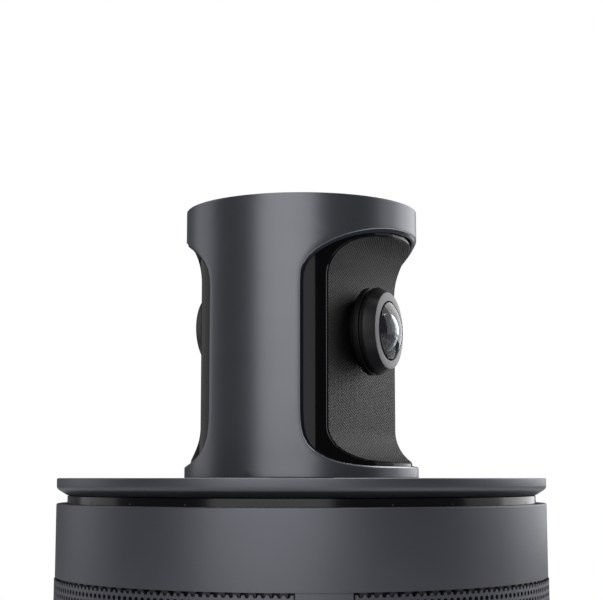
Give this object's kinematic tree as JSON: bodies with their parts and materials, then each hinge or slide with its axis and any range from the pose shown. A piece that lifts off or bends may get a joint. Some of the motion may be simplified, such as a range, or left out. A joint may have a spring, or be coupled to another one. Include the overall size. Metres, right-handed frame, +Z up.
{
  "type": "ptz camera",
  "caption": "Table-top conference camera: a round loudspeaker base with a perforated grille, and a panning column with two opposite fisheye lenses in deep recessed windows.",
  "frame": {"origin": "centre of the footprint, on the table under the foot ring", "axes": "+Z up through the pan axis; -Y towards the plain front strip of the base; +Y towards the sockets; +X completes the right-handed frame"},
  "size_m": [0.1204, 0.12, 0.1645],
  "materials": {
    "anodised_shell": "satin anodised, dark blue grey",
    "gloss_black": "polished black",
    "matte_black": "fine matte black",
    "textured_black": "fine crossed knurl, black",
    "lens_ring": "satin black anodised",
    "lens_glass": "coated glass",
    "circuit_board": "solder mask",
    "plated_steel": "zinc plated",
    "bearing_brass": "turned",
    "heat_sink": "black anodised",
    "nylon": "moulded, natural",
    "speaker_cloth": "woven, black",
    "foot_rubber": "moulded",
    "cone_paper": "pressed fibre"
  },
  "bodies": {
    "base": {"acoustic_cloth": "speaker_cloth", "acoustic_diffuser": "matte_black", "base_housing": "anodised_shell", "bottom_plate": "matte_black", "bottom_screw_1": "plated_steel", "bottom_screw_2": "plated_steel", "bottom_screw_3": "plated_steel", "deck_disc": "anodised_shell", "foot_ring": "foot_rubber", "grille_left": "anodised_shell", "grille_locating_ring": "matte_black", "grille_right": "anodised_shell", "heat_sink": "heat_sink", "main_board": "circuit_board", "mic_board": "circuit_board", "mic_capsule_1": "plated_steel", "mic_capsule_2": "plated_steel", "mic_capsule_3": "plated_steel", "mic_ring": "gloss_black", "motor_bracket": "plated_steel", "network_socket": "plated_steel", "pan_bush": "bearing_brass", "pan_motor": "plated_steel", "port_panel": "matte_black", "power_socket": "matte_black", "power_switch": "matte_black", "speaker_basket": "plated_steel", "speaker_cone": "cone_paper", "speaker_enclosure": "matte_black", "speaker_magnet": "plated_steel", "speaker_surround": "foot_rubber", "usb_socket": "plated_steel"},
    "turret": {"turret_shell": "anodised_shell", "top_cap": "anodised_shell", "turret_core": "gloss_black", "lens_surround_a": "textured_black", "lens_surround_b": "textured_black", "lens_barrel_a": "matte_black", "lens_barrel_b": "matte_black", "lens_bezel_a": "lens_ring", "lens_bezel_b": "lens_ring", "lens_dome_a": "lens_glass", "lens_dome_b": "lens_glass", "lens_rear_element_a": "lens_glass", "lens_rear_element_b": "lens_glass", "lens_mount_a": "matte_black", "lens_mount_b": "matte_black", "sensor_board_a": "circuit_board", "sensor_board_b": "circuit_board", "image_sensor_a": "gloss_black", "image_sensor_b": "gloss_black", "turret_board": "circuit_board", "pan_hub": "plated_steel", "pan_gear": "nylon", "retaining_ring": "plated_steel", "hub_screw_1": "plated_steel", "hub_screw_2": "plated_steel", "pan_harness": "foot_rubber"},
    "pinion": {"motor_pinion": "bearing_brass"},
    "button": {"power_button": "gloss_black"}
  },
  "joints": [
    {"name": "pan", "type": "hinge", "parent": "base", "child": "turret", "pos_m": [0, 0, 0.098], "axis": [0, 0, 1], "range_deg": [-170, 170]},
    {"name": "pinion_spin", "type": "hinge", "parent": "base", "child": "pinion", "pos_m": [0, 0.024, 0.0835], "axis": [0, 0, 1], "range_deg": [-690, 690]},
    {"name": "power_press", "type": "slide", "parent": "base", "child": "button", "axis": [0, -1, 0], "range_m": [0, 0.0008], "stiffness_N_per_m": 600}
  ],
  "couplings": [
    {"joint": "pinion_spin", "follows": "pan", "ratio": -4}
  ]
}
